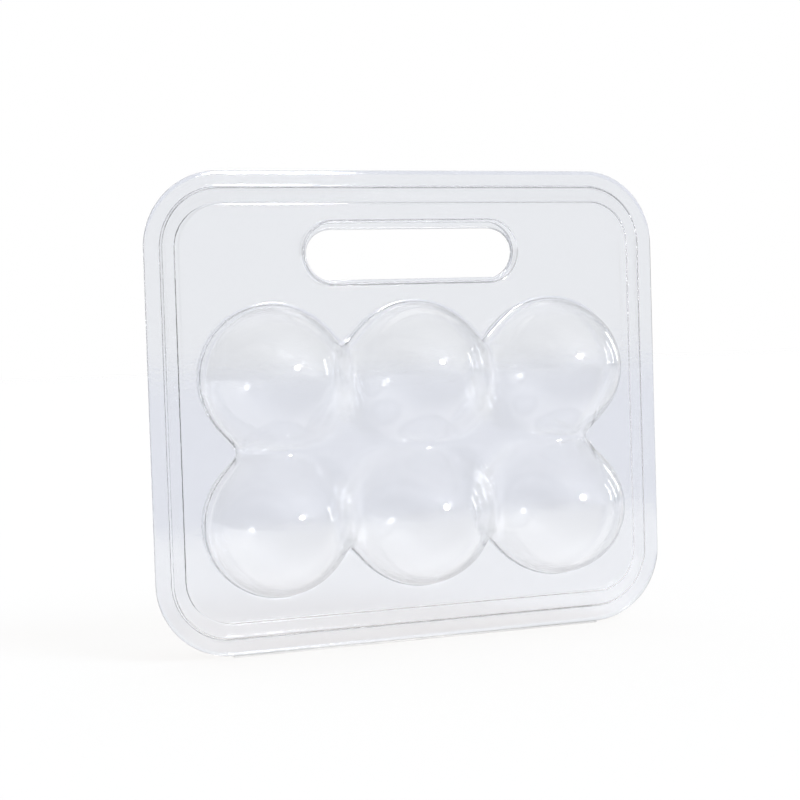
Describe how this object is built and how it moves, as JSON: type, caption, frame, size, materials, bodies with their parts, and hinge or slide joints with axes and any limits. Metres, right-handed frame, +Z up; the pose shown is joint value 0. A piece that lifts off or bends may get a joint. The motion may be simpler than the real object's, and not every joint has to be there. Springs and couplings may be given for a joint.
{
  "type": "clamshell egg carton",
  "caption": "Clear thermoformed clamshell carrier with two rows of egg cells between a front and a back shell, a hand slot at the top and a fold hinge at the bottom.",
  "frame": {"origin": "centre of the bottom fold: middle of the width, on the plane where the two shells meet, at the lowest edge", "axes": "+Z up towards the hand slot, +X to the right along the width, -Y towards the front shell"},
  "size_m": [0.174, 0.057, 0.151],
  "materials": {
    "fold_sheet": "clear PET sheet, creased white along the fold",
    "back_sheet": "clear glossy thermoformed PET sheet, faint blue-grey tint",
    "front_sheet": "clear glossy thermoformed PET sheet, faint blue-grey tint"
  },
  "bodies": {
    "back_shell": {"hinge_fold": "fold_sheet", "back_flange": "back_sheet", "back_bevel": "back_sheet", "back_margin": "back_sheet", "back_handle_panel": "back_sheet", "back_slot_rim": "back_sheet", "back_cell_top_left": "back_sheet", "back_cell_top_middle": "back_sheet", "back_cell_top_right": "back_sheet", "back_cell_bottom_left": "back_sheet", "back_cell_bottom_middle": "back_sheet", "back_cell_bottom_right": "back_sheet"},
    "front_shell": {"front_flange": "front_sheet", "front_bevel": "front_sheet", "front_margin": "front_sheet", "front_handle_panel": "front_sheet", "front_slot_rim": "front_sheet", "front_cell_top_left": "front_sheet", "front_cell_top_middle": "front_sheet", "front_cell_top_right": "front_sheet", "front_cell_bottom_left": "front_sheet", "front_cell_bottom_middle": "front_sheet", "front_cell_bottom_right": "front_sheet"}
  },
  "joints": [
    {"name": "front_shell_hinge", "type": "hinge", "parent": "back_shell", "child": "front_shell", "pos_m": [0, 0, 0.0005], "axis": [1, 0, 0], "range_deg": [0, 180], "deforming": ["hinge_fold"]}
  ]
}
